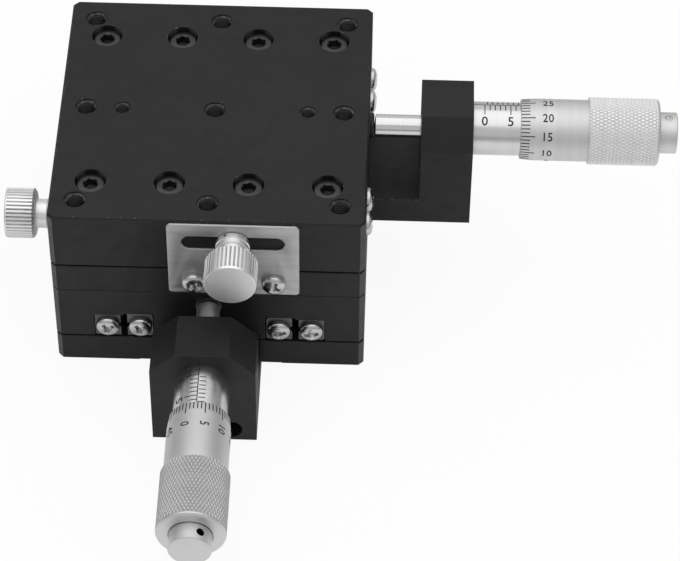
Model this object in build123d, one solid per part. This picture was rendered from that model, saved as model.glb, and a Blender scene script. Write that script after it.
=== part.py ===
from build123d import *
import os
from collections import namedtuple
from math import cos, floor, radians, sin, sqrt

# XY linear stage: two like crossed-roller stages, one on the other, each moved by a micrometer head.
# One stage is drawn in its own frame: it travels along X, its micrometer is on +X, its lock is on -Y
# and its underside lies at z = 0. The lower stage is that stage turned a quarter turn clockwise, so
# it travels along Y with its micrometer at the front, and the upper stage stands on it unturned.
# Millimetres throughout. The origin is the centre of the underside.

# Plates
GRID = 25.0
GRID_EDGE = 5.0
PLATE = 2 * (GRID + GRID_EDGE)
CORNER_CHAMFER = 1.0
TOP_RIM = {"x": 0.4, "y": 0.2}
SEAM_RIM = 0.15
BASE_T = 6.6
TABLE_T = 13.0
TABLE_GAP = 0.4
TRAVEL = 6.5
RELIEF_W = 28.0
RELIEF_DEPTH = 0.3

# Crossed-roller rails, two pairs to a stage
RAIL_SET_BACK = 0.3
RAIL_W = 5.0
RAIL_H = 6.0
RAIL_GAP = 1.3
RAIL_EDGE = 0.4
RAIL_RELIEF_W = 0.4
RAIL_RELIEF_DEPTH = 0.15
CHANNEL_SEAT = 0.1
CHANNEL_CLEAR = 0.2
CEILING_CLEAR = 0.4
ROLLER_D = 2.0
ROLLER_SHORT = 0.3
ROLLER_CLEAR = 0.02
ROLLER_PITCH = 4.0
CAGE_T = 0.5
CAGE_H = 4.6
CAGE_END = 1.8
CAGE_STOP_CLEAR = 1.45
WINDOW_CLEAR = 0.05

# Screws; the key is the socket's width across flats
Screw = namedtuple("Screw", "d head_d head_h key")
M3 = Screw(3.0, 5.5, 3.0, 2.5)
M4 = Screw(4.0, 7.0, 4.0, 3.0)
M2_5 = Screw(2.5, 4.5, 2.5, 2.0)
THREAD_CLEAR = 0.02
HOLE_CLEAR = 0.25
HEAD_CLEAR = 0.25
CORNER_HOLE_CLEAR = {"x": 0.2, "y": 0.4}
KEY_DEPTH_SHARE = 0.55
RAIL_SCREW_L = 8.0
RAIL_SCREW_ROW = 5.0
RAIL_SCREW_BACK = 2.3
RAIL_SCREW_WALL = 1.7
TOP_HEAD_SINK = 0.8
BASE_HEAD_SINK = 0.6
PLATE_SCREW_L = 8.0
PLATE_HEAD_SINK = 0.2
PAN_D = 2.5
PAN_HEAD_D = 4.6
PAN_HEAD_H = 1.5
PAN_RIM = 0.7
END_SCREW_L = 3.8
END_HOLE_SPARE = 0.2

# Holes in a table's top face
THREAD_MOUTH = 0.15
PIN_HOLE_X = 18.0
PIN_HOLE_D = 3.0

# Return spring, in a slot under the middle of the table
SLOT_W = 8.0
SLOT_END_CLEAR = 1.1
SPRING_PIN_X = 12.0
SPRING_PIN_R = 1.4
SPRING_PIN_NECK_R = 1.0
SPRING_PIN_NECK_H = 0.8
SPRING_PIN_SEAT = 3.6
SPRING_PIN_TIP = 1.4
SPRING_WIRE_R = 0.3
SPRING_COIL_R = 1.9
SPRING_COIL_L = 15.0
SPRING_TURNS = 9
SPRING_EYE_CLEAR = 0.05
SPRING_BEND_R = 0.34

# Micrometer bracket, an L with its foot against the base plate's side
BLOCK_CLEAR = 3.5
FOOT_CLEAR = 0.5
BRACKET_T = 10.0
BRACKET_W = 20.0
BRACKET_LIFT = 0.5
BRACKET_OVER = 7.8
BRACKET_CHAMFER = 5.0
BRACKET_SCREW_Y = 4.9
BRACKET_SCREW_SINK = 8.5
BRACKET_SCREW_L = 16.0
BRACKET_HOLE_SPARE = 1.0
GRUB_SINK = 0.75
GRUB_KEY = 1.5

# Micrometer head
HEAD_DOWN = 3.2
STEM_STEP = 0.45
STEM_SINK = 0.5
SLEEVE_R = 5.2
SLEEVE_SPARE = 3.3
SLEEVE_EDGE = 0.3
SPINDLE_R = 2.25
PAD_R = 2.5
PAD_T = 0.9
PAD_EDGE = 0.25
SPINDLE_TIP_R = 8.0
THREAD_STEP = 0.75
BORE_STEP = 2.0
TURNED_END_CLEAR = 0.5
JOURNAL_STEP = 0.25
RUNNING_CLEAR = 0.05
ZERO_TICK = 2.2
READING = 7.0
BEVEL_L = 2.8
BEVEL_EDGE_T = 0.5
THIMBLE_T = 0.75
THIMBLE_L = 13.2
KNURL_STEP = 0.5
KNURL_L = 13.6
KNURL_EDGE = 0.6
CAP_R = 4.0
CAP_L = 3.5
CAP_EDGE = 0.15
CAP_STUB_R = 3.2
CAP_STUB_L = 1.5
CAP_HOLE_R = 0.8
CAP_HOLE_DEPTH = 1.6
CAP_HOLE_TURN = {"x": 0, "y": 30}

# Lock plate and thumb screw, on the side at -Y
LOCK_X = 5.0
LOCK_DOWN = 5.3
LOCK_HOLE_DEPTH = 6.7
LOCK_STEM_END = 0.2
LOCK_PLATE_T = 0.5
LOCK_PLATE_SIDE = 2.75
LOCK_PLATE_Z = 0.7
LOCK_PLATE_TOP = 0.5
LOCK_PLATE_CORNER = 0.8
LOCK_SLOT_CLEAR = 1.75
LOCK_SLOT_WIDE = 0.4
LOCK_SCREW_SPACING = 15.3
LOCK_SCREW_Z = 4.0
LOCK_SCREW_L = 5.0
COLLAR_R = 3.25
COLLAR_L = 2.4
COLLAR_GROOVE = 0.3
NECK_R = 2.9
NECK_L = 2.2
KNOB_R = 5.0
KNOB_L = 6.0
KNOB_EDGE = 0.4
KNOB_RIBS = 40
KNOB_RIB_H = 0.35
LOCK_GAP = {"x": 0.05, "y": 0.65}

# Worked out from the sizes above
HALF = PLATE / 2
RAIL_L = PLATE - 2 * RAIL_SET_BACK
STAGE_H = BASE_T + TABLE_GAP + TABLE_T
RAIL_Z = BASE_T + TABLE_GAP
RAIL_MID_Z = RAIL_Z + RAIL_H / 2
CEILING_Z = RAIL_Z + RAIL_H
OUTER_SCREW_Y = GRID - RAIL_SCREW_ROW
OUTER_BACK = OUTER_SCREW_Y + RAIL_SCREW_BACK
OUTER_FACE = OUTER_BACK - RAIL_W
INNER_FACE = OUTER_FACE - RAIL_GAP
RAIL_BACK = INNER_FACE - RAIL_W
INNER_SCREW_Y = RAIL_BACK + RAIL_SCREW_BACK
ROLLER_Y = INNER_FACE + RAIL_GAP / 2
ROLLER_L = ROLLER_D - ROLLER_SHORT
V_DEPTH = ((ROLLER_D + 2 * ROLLER_CLEAR) * sqrt(2) - RAIL_GAP) / 2
CAGE_REACH = RAIL_L / 2 - TRAVEL / 2 - CAGE_STOP_CLEAR
ROLLERS = 1 + floor((2 * (CAGE_REACH - CAGE_END) - ROLLER_D) / ROLLER_PITCH)
SLOT_L = 2 * (SPRING_PIN_X + SPRING_PIN_R + TRAVEL + SLOT_END_CLEAR)
PLATE_FLOOR = BASE_T - PLATE_HEAD_SINK - M4.head_h
BLOCK_X = HALF + TRAVEL + BLOCK_CLEAR
OUTER_X = BLOCK_X + BRACKET_T
FOOT_H = RAIL_Z - FOOT_CLEAR - BRACKET_LIFT
FOOT_Z = BRACKET_LIFT + FOOT_H / 2
HEAD_Z = STAGE_H - HEAD_DOWN
BRACKET_TOP = HEAD_Z + BRACKET_OVER
STEM_R = SLEEVE_R - STEM_STEP
THREAD_R = SPINDLE_R + THREAD_STEP
JOURNAL_R = SPINDLE_R - JOURNAL_STEP
SPINDLE_X = HALF + PAD_T
GRUB_L = BRACKET_W / 2 - STEM_R - GRUB_SINK
SLEEVE_BORE = SLEEVE_R + RUNNING_CLEAR
THIMBLE_R = SLEEVE_BORE + THIMBLE_T
KNURL_R = THIMBLE_R + KNURL_STEP
THIMBLE_X = OUTER_X + ZERO_TICK + READING
KNURL_X = THIMBLE_X + THIMBLE_L
THIMBLE_END = KNURL_X + KNURL_L
SLEEVE_END = THIMBLE_X + TRAVEL + SLEEVE_SPARE
HUB_X = SLEEVE_END + TRAVEL + TURNED_END_CLEAR
LOCK_Z = STAGE_H - LOCK_DOWN
LOCK_SLOT_L = 2 * (TRAVEL + LOCK_SLOT_CLEAR) + M3.d
LOCK_SLOT_H = M3.d + LOCK_SLOT_WIDE
LOCK_PLATE_H = STAGE_H - LOCK_PLATE_TOP - LOCK_PLATE_Z
LOCK_PLATE_W = LOCK_SLOT_L + 2 * LOCK_PLATE_SIDE

UP = (Align.CENTER, Align.CENTER, Align.MIN)

# How far a cut runs past what it cuts
CUT = 1.0


def block(x, y, z):
    """A box from three (low, high) pairs."""
    sizes = [high - low for low, high in (x, y, z)]
    return Pos(x[0], y[0], z[0]) * Box(*sizes, align=(Align.MIN, Align.MIN, Align.MIN))


def post(x, y, z0, z1, r):
    """An upright cylinder between two heights."""
    return Pos(x, y, z0) * Cylinder(r, z1 - z0, align=UP)


def along_x(x0, x1, y, z, r):
    """A cylinder along X."""
    return Pos(x0, y, z) * Rot(0, 90, 0) * Cylinder(r, x1 - x0, align=UP)


def along_y(x, y0, y1, z, r):
    """A cylinder along Y."""
    return Pos(x, y0, z) * Rot(-90, 0, 0) * Cylinder(r, y1 - y0, align=UP)


def turned(points, z=HEAD_Z):
    """A turned piece: (x, radius) points of half its section, spun about a line along X."""
    profile = make_face(Polyline(*points, close=True))
    return Pos(0, 0, z) * revolve(profile, Axis.X)


def both_sides(shape):
    """The piece and its mirror image on the other side of the travel axis."""
    return [shape, mirror(shape, about=Plane.XZ)]


def rail_screw_xs():
    """Where the four screws of a rail stand along it, clear of the holes in its ends."""
    last = RAIL_L / 2 - END_SCREW_L - END_HOLE_SPARE - RAIL_SCREW_WALL - M3.d / 2
    return [last * share for share in (-1, -1 / 3, 1 / 3, 1)]


def rail_places(y):
    """Where the rail screws stand, on both sides of the travel axis."""
    return [(x, side * y) for side in (1, -1) for x in rail_screw_xs()]


def plate_blank(z0, z1, top_rim):
    """A square plate with chamfered corners and rims."""
    plate = block((-HALF, HALF), (-HALF, HALF), (z0, z1))
    plate = chamfer(plate.edges().filter_by(Axis.Z), CORNER_CHAMFER)
    plate = chamfer(plate.faces().sort_by(Axis.Z)[-1].edges(), top_rim)
    return chamfer(plate.faces().sort_by(Axis.Z)[0].edges(), SEAM_RIM)


def thread_hole(x, y, z0, z1, d):
    """A threaded hole drawn at the nominal diameter, with a small mouth at the top."""
    r = d / 2 + THREAD_CLEAR
    mouth = Pos(x, y, z1 - THREAD_MOUTH) * Cone(r, r + THREAD_MOUTH, THREAD_MOUTH, align=UP)
    return post(x, y, z0, z1, r) + mouth


def base_plate(name):
    """The fixed plate of a stage, with the lands that its inner rails stand on."""
    plate = plate_blank(0, BASE_T, SEAM_RIM)
    land_x = (-HALF + CORNER_CHAMFER, HALF - CORNER_CHAMFER)
    for land in both_sides(block(land_x, (RAIL_BACK, INNER_FACE), (BASE_T - SEAM_RIM, RAIL_Z))):
        plate += land
    plate -= block((-PLATE, PLATE), (-RELIEF_W / 2, RELIEF_W / 2), (-CUT, RELIEF_DEPTH))
    head_floor = BASE_HEAD_SINK + M3.head_h
    for x, y in rail_places(INNER_SCREW_Y):
        plate -= post(x, y, 0, head_floor, (M3.head_d + HEAD_CLEAR) / 2)
        plate -= post(x, y, head_floor, RAIL_Z, (M3.d + HOLE_CLEAR) / 2)
    for x in (-GRID, GRID):
        for y in (-GRID, GRID):
            plate -= post(x, y, 0, BASE_T, M4.d / 2 + CORNER_HOLE_CLEAR[name])
            plate -= post(x, y, PLATE_FLOOR, BASE_T, M4.head_d / 2 + HEAD_CLEAR)
    end = OUTER_X - BRACKET_SCREW_SINK - BRACKET_SCREW_L
    for y in (-BRACKET_SCREW_Y, BRACKET_SCREW_Y):
        plate -= along_x(end - BRACKET_HOLE_SPARE, HALF, y, FOOT_Z, M2_5.d / 2 + THREAD_CLEAR)
    for x in lock_screw_xs():
        plate -= along_y(x, -HALF, -HALF + LOCK_SCREW_L, LOCK_SCREW_Z, PAN_D / 2 + THREAD_CLEAR)
    plate -= post(SPRING_PIN_X, 0, BASE_T - SPRING_PIN_SEAT, BASE_T, SPRING_PIN_R)
    return plate


def table(name):
    """The moving plate of a stage: channels for the rails, the grid of holes and the spindle's pad."""
    plate = plate_blank(RAIL_Z, STAGE_H, TOP_RIM[name])
    for side in (1, -1):
        seat = sorted((side * ROLLER_Y, side * (OUTER_BACK + CHANNEL_SEAT)))
        room = sorted((side * (RAIL_BACK - CHANNEL_CLEAR), side * ROLLER_Y))
        plate -= block((-PLATE, PLATE), seat, (0, CEILING_Z))
        plate -= block((-PLATE, PLATE), room, (0, CEILING_Z + CEILING_CLEAR))
    plate -= block((-SLOT_L / 2, SLOT_L / 2), (-SLOT_W / 2, SLOT_W / 2), (0, CEILING_Z))
    head_floor = STAGE_H - TOP_HEAD_SINK - M3.head_h
    for x, y in rail_places(OUTER_SCREW_Y):
        plate -= post(x, y, head_floor, STAGE_H, M3.head_d / 2 + HEAD_CLEAR)
        plate -= post(x, y, CEILING_Z, head_floor, (M3.d + HOLE_CLEAR) / 2)
    for x in (-GRID, 0, GRID):
        for y in (-GRID, 0, GRID):
            plate -= thread_hole(x, y, 0, STAGE_H, M4.d)
    for x in (-PIN_HOLE_X, PIN_HOLE_X):
        plate -= thread_hole(x, 0, CEILING_Z, STAGE_H, PIN_HOLE_D)
    plate -= along_y(LOCK_X, -HALF, -HALF + LOCK_HOLE_DEPTH, LOCK_Z, M3.d / 2 + THREAD_CLEAR)
    plate -= post(-SPRING_PIN_X, 0, CEILING_Z, CEILING_Z + SPRING_PIN_SEAT, SPRING_PIN_R)
    return plate + contact_pad()


def contact_pad():
    """The round pad on the table's side that the spindle pushes."""
    return turned([
        (HALF - PAD_T, 0),
        (HALF - PAD_T, PAD_R),
        (SPINDLE_X - PAD_EDGE, PAD_R),
        (SPINDLE_X, PAD_R - PAD_EDGE),
        (SPINDLE_X, 0),
    ])


def rail(face, back, screw_y):
    """One rail with its V groove, from the grooved face's y to the back's, at +Y."""
    way = 1 if back > face else -1
    half_relief = RAIL_RELIEF_W / 2
    flank_end = V_DEPTH - half_relief
    outline = [
        (0, -RAIL_H / 2),
        (0, -V_DEPTH),
        (flank_end, -half_relief),
        (V_DEPTH + RAIL_RELIEF_DEPTH, -half_relief),
        (V_DEPTH + RAIL_RELIEF_DEPTH, half_relief),
        (flank_end, half_relief),
        (0, V_DEPTH),
        (0, RAIL_H / 2),
        (RAIL_W - RAIL_EDGE, RAIL_H / 2),
        (RAIL_W, RAIL_H / 2 - RAIL_EDGE),
        (RAIL_W, -RAIL_H / 2 + RAIL_EDGE),
        (RAIL_W - RAIL_EDGE, -RAIL_H / 2),
    ]
    points = [(face + way * u, RAIL_MID_Z + v) for u, v in outline]
    section = Plane.YZ * make_face(Polyline(*points, close=True))
    bar = Pos(-RAIL_L / 2, 0, 0) * extrude(section, RAIL_L, dir=(1, 0, 0))
    for x in rail_screw_xs():
        bar -= post(x, screw_y, RAIL_Z - CUT, CEILING_Z + CUT, M3.d / 2 + THREAD_CLEAR)
    inner_end = RAIL_L / 2 - END_SCREW_L - END_HOLE_SPARE
    for x0, x1 in ((-RAIL_L / 2, -inner_end), (inner_end, RAIL_L / 2)):
        bar -= along_x(x0, x1, (face + back) / 2, RAIL_MID_Z, PAN_D / 2 + THREAD_CLEAR)
    return bar


def roller_xs():
    """Where the rollers of one cage lie along the rail."""
    return [(i - (ROLLERS - 1) / 2) * ROLLER_PITCH for i in range(ROLLERS)]


def cage():
    """The strip that keeps the rollers apart, at +Y."""
    low, high = RAIL_MID_Z - CAGE_H / 2, RAIL_MID_Z + CAGE_H / 2
    strip = block((-CAGE_REACH, CAGE_REACH), (ROLLER_Y - CAGE_T / 2, ROLLER_Y + CAGE_T / 2), (low, high))
    half_x = ROLLER_D / 2 + WINDOW_CLEAR
    half_z = (ROLLER_D + ROLLER_L) / 2 / sqrt(2) + WINDOW_CLEAR
    for x in roller_xs():
        strip -= block(
            (x - half_x, x + half_x),
            (ROLLER_Y - CAGE_T, ROLLER_Y + CAGE_T),
            (RAIL_MID_Z - half_z, RAIL_MID_Z + half_z),
        )
    return strip


def rollers():
    """The rollers of one cage at +Y, each crossed with its neighbours."""
    made = []
    for i, x in enumerate(roller_xs()):
        tilt = 45 if i % 2 else -45
        made.append(Pos(x, ROLLER_Y, RAIL_MID_Z) * Rot(tilt, 0, 0) * Cylinder(ROLLER_D / 2, ROLLER_L))
    return made


def socket_screw(size, length):
    """A cap screw with its head above z = 0 and its shank below."""
    screw = post(0, 0, -length, 0, size.d / 2)
    screw += post(0, 0, 0, size.head_h, size.head_d / 2)
    floor_z = size.head_h * (1 - KEY_DEPTH_SHARE)
    return screw - Pos(0, 0, floor_z) * extrude(hexagon(size.key), size.head_h)


def hexagon(key):
    """A key socket's outline from its width across flats."""
    return RegularPolygon(key / sqrt(3), 6)


def pan_screw(length):
    """A pan-head screw with its domed head above z = 0 and its shank below."""
    rise = PAN_HEAD_H - PAN_RIM
    crown_r = ((PAN_HEAD_D / 2) ** 2 + rise**2) / (2 * rise)
    crown = RadiusArc((PAN_HEAD_D / 2, PAN_RIM), (0, PAN_HEAD_H), -crown_r)
    sides = Polyline(
        (0, PAN_HEAD_H),
        (0, -length),
        (PAN_D / 2, -length),
        (PAN_D / 2, 0),
        (PAN_HEAD_D / 2, 0),
        (PAN_HEAD_D / 2, PAN_RIM),
    )
    profile = Plane.XZ * make_face(crown + sides)
    return revolve(profile, Axis.Z)


def top_rail_screws():
    """The screws that hold the outer rails, sunk in the table's top face."""
    seat = STAGE_H - TOP_HEAD_SINK - M3.head_h
    screw = socket_screw(M3, RAIL_SCREW_L)
    return [Pos(x, y, seat) * screw for x, y in rail_places(OUTER_SCREW_Y)]


def bottom_rail_screws():
    """The screws that hold the inner rails, sunk in the base plate's underside."""
    seat = BASE_HEAD_SINK + M3.head_h
    screw = Rot(180, 0, 0) * socket_screw(M3, RAIL_SCREW_L)
    return [Pos(x, y, seat) * screw for x, y in rail_places(INNER_SCREW_Y)]


def end_screws(rail_y):
    """The pan-head screws in the rails' ends, which keep the cages in."""
    screw = pan_screw(END_SCREW_L)
    made = []
    for y in (rail_y, -rail_y):
        made.append(Pos(RAIL_L / 2, y, RAIL_MID_Z) * Rot(0, 90, 0) * screw)
        made.append(Pos(-RAIL_L / 2, y, RAIL_MID_Z) * Rot(0, -90, 0) * screw)
    return made


def stage_screws():
    """The screws that hold the upper base plate down on the lower table, in the upper stage's frame."""
    screw = socket_screw(M4, PLATE_SCREW_L)
    return [Pos(x, y, PLATE_FLOOR) * screw for x in (-GRID, GRID) for y in (-GRID, GRID)]


def spring_pin(reach):
    """A pin seated below z = 0, with a neck for the spring's eye at that height above it."""
    low, high = reach - SPRING_PIN_NECK_H / 2, reach + SPRING_PIN_NECK_H / 2
    pin = post(0, 0, -SPRING_PIN_SEAT, low, SPRING_PIN_R)
    pin += post(0, 0, low, high, SPRING_PIN_NECK_R)
    pin += post(0, 0, high, high + SPRING_PIN_TIP, SPRING_PIN_R)
    return pin


def spring():
    """The return spring between the two pins, coiled along X with an eye at each end."""
    coil_path = Rot(0, 90, 0) * Helix(SPRING_COIL_L / SPRING_TURNS, SPRING_COIL_L, SPRING_COIL_R)
    start = coil_path @ 0
    section = Plane(origin=start, z_dir=coil_path % 0) * Circle(SPRING_WIRE_R)
    coil = Pos(-SPRING_COIL_L / 2, 0, 0) * sweep(section, path=coil_path, is_frenet=True)
    eye_r = SPRING_PIN_NECK_R + SPRING_EYE_CLEAR + SPRING_WIRE_R
    shape = coil
    for way, end in ((-1, coil_path @ 0), (1, coil_path @ 1)):
        x = end.X - SPRING_COIL_L / 2
        eye_x = way * (SPRING_PIN_X - eye_r)
        leg_start = Vector(x, end.Y, end.Z)
        leg = Vector(eye_x, 0, 0) - leg_start
        shape += Plane(origin=leg_start, z_dir=leg) * Cylinder(SPRING_WIRE_R, leg.length, align=UP)
        shape += Pos(leg_start) * Sphere(SPRING_BEND_R)
        shape += Pos(way * SPRING_PIN_X, 0, 0) * Torus(eye_r, SPRING_WIRE_R)
    return Pos(0, 0, RAIL_MID_Z) * shape


def bracket():
    """The L-shaped bracket that carries the micrometer head beside the table."""
    half_w = BRACKET_W / 2
    body = block((BLOCK_X, OUTER_X), (-half_w, half_w), (BRACKET_LIFT, BRACKET_TOP))
    shoulders = body.edges().filter_by(Axis.X).sort_by(Axis.Z)[-2:]
    body = chamfer(shoulders, BRACKET_CHAMFER)
    body += block((HALF, BLOCK_X), (-half_w, half_w), (BRACKET_LIFT, BRACKET_LIFT + FOOT_H))
    body -= along_x(BLOCK_X - CUT, OUTER_X + CUT, 0, HEAD_Z, STEM_R + THREAD_CLEAR)
    for y in (-BRACKET_SCREW_Y, BRACKET_SCREW_Y):
        body -= along_x(OUTER_X - BRACKET_SCREW_SINK, OUTER_X, y, FOOT_Z, (M2_5.head_d + HEAD_CLEAR) / 2)
        body -= along_x(HALF, OUTER_X, y, FOOT_Z, (M2_5.d + HOLE_CLEAR) / 2)
    middle = (BLOCK_X + OUTER_X) / 2
    body -= along_y(middle, 0, half_w + CUT, HEAD_Z, M3.d / 2 + THREAD_CLEAR)
    return body


def bracket_screws():
    """The two long screws through the bracket into the base plate's side."""
    screw = Rot(0, 90, 0) * socket_screw(M2_5, BRACKET_SCREW_L)
    seat = OUTER_X - BRACKET_SCREW_SINK
    return [Pos(seat, y, FOOT_Z) * screw for y in (-BRACKET_SCREW_Y, BRACKET_SCREW_Y)]


def grub_screw():
    """The headless screw in the bracket's far side that grips the micrometer's stem."""
    middle = (BLOCK_X + OUTER_X) / 2
    screw = along_y(middle, STEM_R, STEM_R + GRUB_L, HEAD_Z, M3.d / 2)
    socket = Rot(90, 0, 0) * extrude(hexagon(GRUB_KEY), GRUB_KEY)
    return screw - Pos(middle, STEM_R + GRUB_L, HEAD_Z) * socket


def sleeve():
    """The fixed barrel of the micrometer head, clamped in the bracket by its stem."""
    bore = SPINDLE_R + RUNNING_CLEAR
    nut = THREAD_R + RUNNING_CLEAR
    return turned([
        (BLOCK_X + STEM_SINK, bore),
        (BLOCK_X + STEM_SINK, STEM_R),
        (OUTER_X, STEM_R),
        (OUTER_X, SLEEVE_R),
        (SLEEVE_END - SLEEVE_EDGE, SLEEVE_R),
        (SLEEVE_END, SLEEVE_R - SLEEVE_EDGE),
        (SLEEVE_END, nut),
        (OUTER_X + BORE_STEP, nut),
        (OUTER_X + BORE_STEP, bore),
    ])


def spindle():
    """The spindle: a domed tip on the table's pad, a thread in the sleeve and a journal in the thimble."""
    swell = SPINDLE_TIP_R - sqrt(SPINDLE_TIP_R**2 - SPINDLE_R**2)
    tip = RadiusArc((SPINDLE_X, 0), (SPINDLE_X + swell, SPINDLE_R), SPINDLE_TIP_R)
    thread_x = OUTER_X + BORE_STEP + TRAVEL + TURNED_END_CLEAR
    rest = Polyline(
        (SPINDLE_X + swell, SPINDLE_R),
        (thread_x, SPINDLE_R),
        (thread_x, THREAD_R),
        (HUB_X, THREAD_R),
        (HUB_X, JOURNAL_R),
        (THIMBLE_END - CAP_STUB_L, JOURNAL_R),
        (THIMBLE_END - CAP_STUB_L, 0),
        (SPINDLE_X, 0),
    )
    return Pos(0, 0, HEAD_Z) * revolve(make_face(tip + rest), Axis.X)


def thimble():
    """The thimble that is turned by hand, open over the sleeve and closed by its hub."""
    hub = JOURNAL_R + RUNNING_CLEAR
    return turned([
        (THIMBLE_X, SLEEVE_BORE),
        (THIMBLE_X, SLEEVE_BORE + BEVEL_EDGE_T),
        (THIMBLE_X + BEVEL_L, THIMBLE_R),
        (KNURL_X, THIMBLE_R),
        (KNURL_X, KNURL_R),
        (THIMBLE_END - KNURL_EDGE, KNURL_R),
        (THIMBLE_END, KNURL_R - KNURL_EDGE),
        (THIMBLE_END, CAP_STUB_R),
        (THIMBLE_END - CAP_STUB_L, CAP_STUB_R),
        (THIMBLE_END - CAP_STUB_L, hub),
        (HUB_X, hub),
        (HUB_X, SLEEVE_BORE),
    ])


def thimble_cap(turn):
    """The cap that holds the thimble on the spindle, its pin key hole turned so far from the top."""
    end = THIMBLE_END + CAP_L
    cap = turned([
        (THIMBLE_END - CAP_STUB_L, 0),
        (THIMBLE_END - CAP_STUB_L, CAP_STUB_R),
        (THIMBLE_END, CAP_STUB_R),
        (THIMBLE_END, CAP_R),
        (end - CAP_EDGE, CAP_R),
        (end, CAP_R - CAP_EDGE),
        (end, 0),
    ])
    hole = post(THIMBLE_END + CAP_L / 2, 0, CAP_R - CAP_HOLE_DEPTH, CAP_R, CAP_HOLE_R)
    return cap - Pos(0, 0, HEAD_Z) * Rot(-turn, 0, 0) * hole


def lock_screw_xs():
    """Where the two screws of the lock plate stand along X."""
    return (LOCK_X - LOCK_SCREW_SPACING / 2, LOCK_X + LOCK_SCREW_SPACING / 2)


def lock_plate():
    """The slotted steel plate on the base plate's side, which the thumb screw clamps."""
    mid_z = LOCK_PLATE_Z + LOCK_PLATE_H / 2
    outline = Pos(LOCK_X, mid_z) * RectangleRounded(LOCK_PLATE_W, LOCK_PLATE_H, LOCK_PLATE_CORNER)
    outline -= Pos(LOCK_X, LOCK_Z) * SlotOverall(LOCK_SLOT_L, LOCK_SLOT_H)
    for x in lock_screw_xs():
        outline -= Pos(x, LOCK_SCREW_Z) * Circle((PAN_D + HOLE_CLEAR) / 2)
    return Pos(0, -HALF, 0) * extrude(Plane.XZ * outline, LOCK_PLATE_T, dir=(0, -1, 0))


def lock_plate_screws():
    """The two pan-head screws of the lock plate."""
    screw = Rot(90, 0, 0) * pan_screw(LOCK_SCREW_L)
    return [Pos(x, -HALF - LOCK_PLATE_T, LOCK_SCREW_Z) * screw for x in lock_screw_xs()]


def ribbed_disc():
    """The knob's ribbed outline."""
    tip = radians(360 / KNOB_RIBS / 5)
    step = radians(360 / KNOB_RIBS)
    root = KNOB_R - KNOB_RIB_H
    points = []
    for i in range(KNOB_RIBS):
        for angle, r in ((-2 * tip, root), (-tip, KNOB_R), (tip, KNOB_R)):
            points.append((r * cos(i * step + angle), r * sin(i * step + angle)))
    return make_face(Polyline(*points, close=True))


def lock_screw(gap):
    """The thumb screw, its collar that far from the lock plate's face, its thread in the table."""
    mid = COLLAR_L / 2
    tip = LOCK_STEM_END - LOCK_HOLE_DEPTH - LOCK_PLATE_T
    stem = Polyline(
        (0, tip),
        (M3.d / 2, tip),
        (M3.d / 2, 0),
        (COLLAR_R, 0),
        (COLLAR_R, mid - COLLAR_GROOVE),
        (COLLAR_R - COLLAR_GROOVE, mid),
        (COLLAR_R, mid + COLLAR_GROOVE),
        (COLLAR_R, COLLAR_L),
        (NECK_R, COLLAR_L),
        (NECK_R, COLLAR_L + NECK_L),
        (0, COLLAR_L + NECK_L),
        close=True,
    )
    screw = revolve(Plane.XZ * make_face(stem), Axis.Z)
    rim = Polyline(
        (0, 0),
        (KNOB_R - KNOB_EDGE, 0),
        (KNOB_R, KNOB_EDGE),
        (KNOB_R, KNOB_L - KNOB_EDGE),
        (KNOB_R - KNOB_EDGE, KNOB_L),
        (0, KNOB_L),
        close=True,
    )
    knob = extrude(ribbed_disc(), KNOB_L) & revolve(Plane.XZ * make_face(rim), Axis.Z)
    screw += Pos(0, 0, COLLAR_L + NECK_L) * knob
    return Pos(LOCK_X, -HALF - LOCK_PLATE_T - gap, LOCK_Z) * Rot(90, 0, 0) * screw


def stage_pieces(name):
    """Every piece of one stage in the stage's own frame: node name to a solid or a list of solids."""
    inner_rail = rail(INNER_FACE, RAIL_BACK, INNER_SCREW_Y)
    outer_rail = rail(OUTER_FACE, OUTER_BACK, OUTER_SCREW_Y)
    pieces = {
        "base_plate": base_plate(name),
        "table": table(name),
        "inner_rail_screws": bottom_rail_screws(),
        "outer_rail_screws": top_rail_screws(),
        "inner_end_screws": end_screws(RAIL_BACK + RAIL_W / 2),
        "outer_end_screws": end_screws(OUTER_FACE + RAIL_W / 2),
        "spring_base_pin": Pos(SPRING_PIN_X, 0, BASE_T) * spring_pin(RAIL_MID_Z - BASE_T),
        "spring_table_pin": Pos(-SPRING_PIN_X, 0, CEILING_Z)
        * Rot(180, 0, 0)
        * spring_pin(CEILING_Z - RAIL_MID_Z),
        "return_spring": spring(),
        "bracket": bracket(),
        "bracket_screws": bracket_screws(),
        "grub_screw": grub_screw(),
        "sleeve": sleeve(),
        "spindle": spindle(),
        "thimble": thimble(),
        "thimble_cap": thimble_cap(CAP_HOLE_TURN[name]),
        "lock_plate": lock_plate(),
        "lock_plate_screws": lock_plate_screws(),
        "lock_screw": lock_screw(LOCK_GAP[name]),
    }
    for label, piece in (("inner_rail", inner_rail), ("outer_rail", outer_rail), ("cage", cage())):
        pieces[label + "_a"], pieces[label + "_b"] = both_sides(piece)
    row = rollers()
    pieces["rollers_a"] = row
    pieces["rollers_b"] = [mirror(roller, about=Plane.XZ) for roller in row]
    return pieces


def main():
    os.makedirs("parts", exist_ok=True)
    places = {"y": Rot(0, 0, -90), "x": Pos(0, 0, STAGE_H)}
    for name, place in places.items():
        pieces = stage_pieces(name)
        if name == "x":
            pieces["base_plate_screws"] = stage_screws()
        for label, piece in pieces.items():
            solids = piece if isinstance(piece, list) else [piece]
            placed = [place * solid for solid in solids]
            shape = placed[0] if len(placed) == 1 else Compound(children=placed)
            export_step(shape, f"parts/{name}_{label}.step")


main()
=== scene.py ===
from math import cos, pi, radians, sin, sqrt

import bmesh
import bpy
from mathutils import Matrix, Vector


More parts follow.
